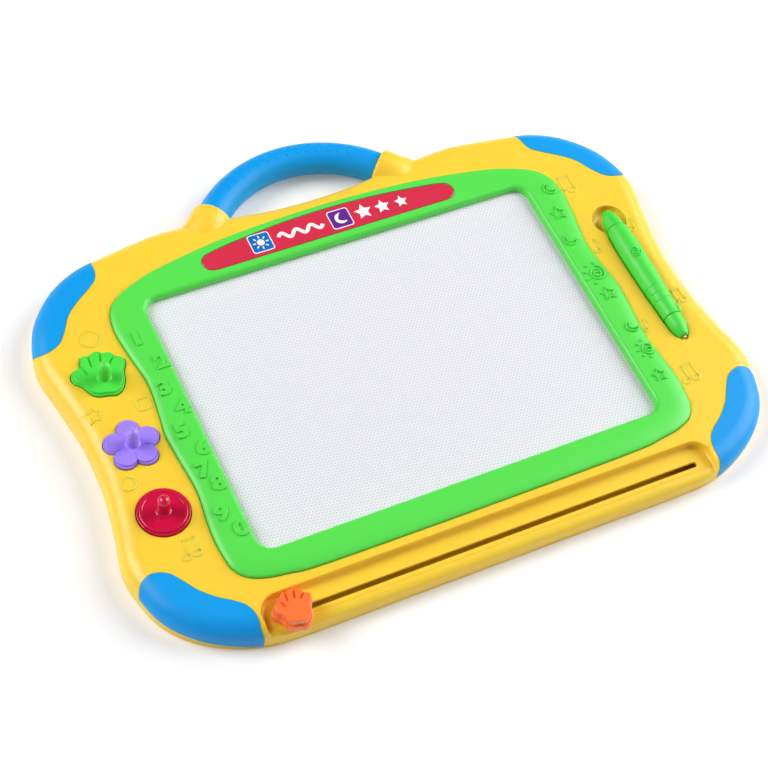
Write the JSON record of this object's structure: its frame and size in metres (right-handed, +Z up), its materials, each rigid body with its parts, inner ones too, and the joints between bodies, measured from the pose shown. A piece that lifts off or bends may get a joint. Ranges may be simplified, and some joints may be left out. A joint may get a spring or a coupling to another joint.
{
  "type": "magnetic drawing board",
  "caption": "Wide magnetic drawing board for children with a framed screen, sliding eraser knob, magnetic stamps and pen in pockets, corner grips and an arched carry handle.",
  "frame": {"origin": "middle of the board's box, on the flat underside that it lies on", "axes": "+X to the right along the wide side, +Y to the carry handle, +Z up out of the screen"},
  "size_m": [0.409, 0.3218, 0.0364],
  "materials": {
    "housing_yellow": "injection-moulded polypropylene, satin gloss",
    "bezel_green": "injection-moulded polypropylene, satin gloss",
    "grip_blue": "injection-moulded polypropylene, satin gloss",
    "label_red": "glossy moulded plate",
    "stamp_green": "moulded polystyrene, gloss",
    "stamp_purple": "moulded polystyrene, gloss",
    "stamp_red": "moulded polystyrene, high gloss",
    "knob_orange": "moulded ABS, gloss",
    "carrier_grey": "moulded acetal, matt",
    "front_film": "translucent film, satin",
    "cell_core": "formed honeycomb film filled with white fluid",
    "back_film": "plain film, satin",
    "magnet_black": "flexible bonded magnet, matt",
    "nib_steel": "turned and polished",
    "screw_steel": "zinc plated"
  },
  "bodies": {
    "housing": {"front_shell": "housing_yellow", "rear_cover": "housing_yellow", "screen_bezel": "bezel_green", "label_plate": "label_red", "screen_front_film": "front_film", "screen_cell_core": "cell_core", "screen_back_film": "back_film", "carry_handle": "grip_blue", "corner_grip_front_left": "grip_blue", "corner_grip_front_right": "grip_blue", "corner_grip_back_left": "grip_blue", "corner_grip_back_right": "grip_blue", "housing_screw_1": "screw_steel", "housing_screw_2": "screw_steel", "housing_screw_3": "screw_steel", "housing_screw_4": "screw_steel", "housing_screw_5": "screw_steel", "housing_screw_6": "screw_steel", "housing_screw_7": "screw_steel", "housing_screw_8": "screw_steel", "housing_screw_9": "screw_steel", "housing_screw_10": "screw_steel", "bezel_screw_1": "screw_steel", "bezel_screw_2": "screw_steel", "bezel_screw_3": "screw_steel", "bezel_screw_4": "screw_steel", "bezel_screw_5": "screw_steel", "bezel_screw_6": "screw_steel"},
    "eraser": {"eraser_knob": "knob_orange", "eraser_carrier": "carrier_grey", "eraser_magnet": "magnet_black"},
    "pen": {"pen_barrel": "stamp_green", "pen_nose": "stamp_green", "pen_magnet_tip": "nib_steel", "pen_end_cap": "stamp_green"},
    "hand_stamp": {"hand_stamp_body": "stamp_green", "hand_stamp_magnet": "magnet_black"},
    "flower_stamp": {"flower_stamp_body": "stamp_purple", "flower_stamp_magnet": "magnet_black"},
    "round_stamp": {"round_stamp_body": "stamp_red", "round_stamp_magnet": "magnet_black"}
  },
  "joints": [
    {"name": "eraser_slide", "type": "slide", "parent": "housing", "child": "eraser", "axis": [1, 0, 0], "range_m": [0, 0.255]},
    {"name": "pen_lift", "type": "slide", "parent": "housing", "child": "pen", "axis": [0, 0, 1], "range_m": [0, 0.06]},
    {"name": "hand_stamp_lift", "type": "slide", "parent": "housing", "child": "hand_stamp", "axis": [0, 0, 1], "range_m": [0, 0.06]},
    {"name": "flower_stamp_lift", "type": "slide", "parent": "housing", "child": "flower_stamp", "axis": [0, 0, 1], "range_m": [0, 0.06]},
    {"name": "round_stamp_lift", "type": "slide", "parent": "housing", "child": "round_stamp", "axis": [0, 0, 1], "range_m": [0, 0.06]}
  ]
}
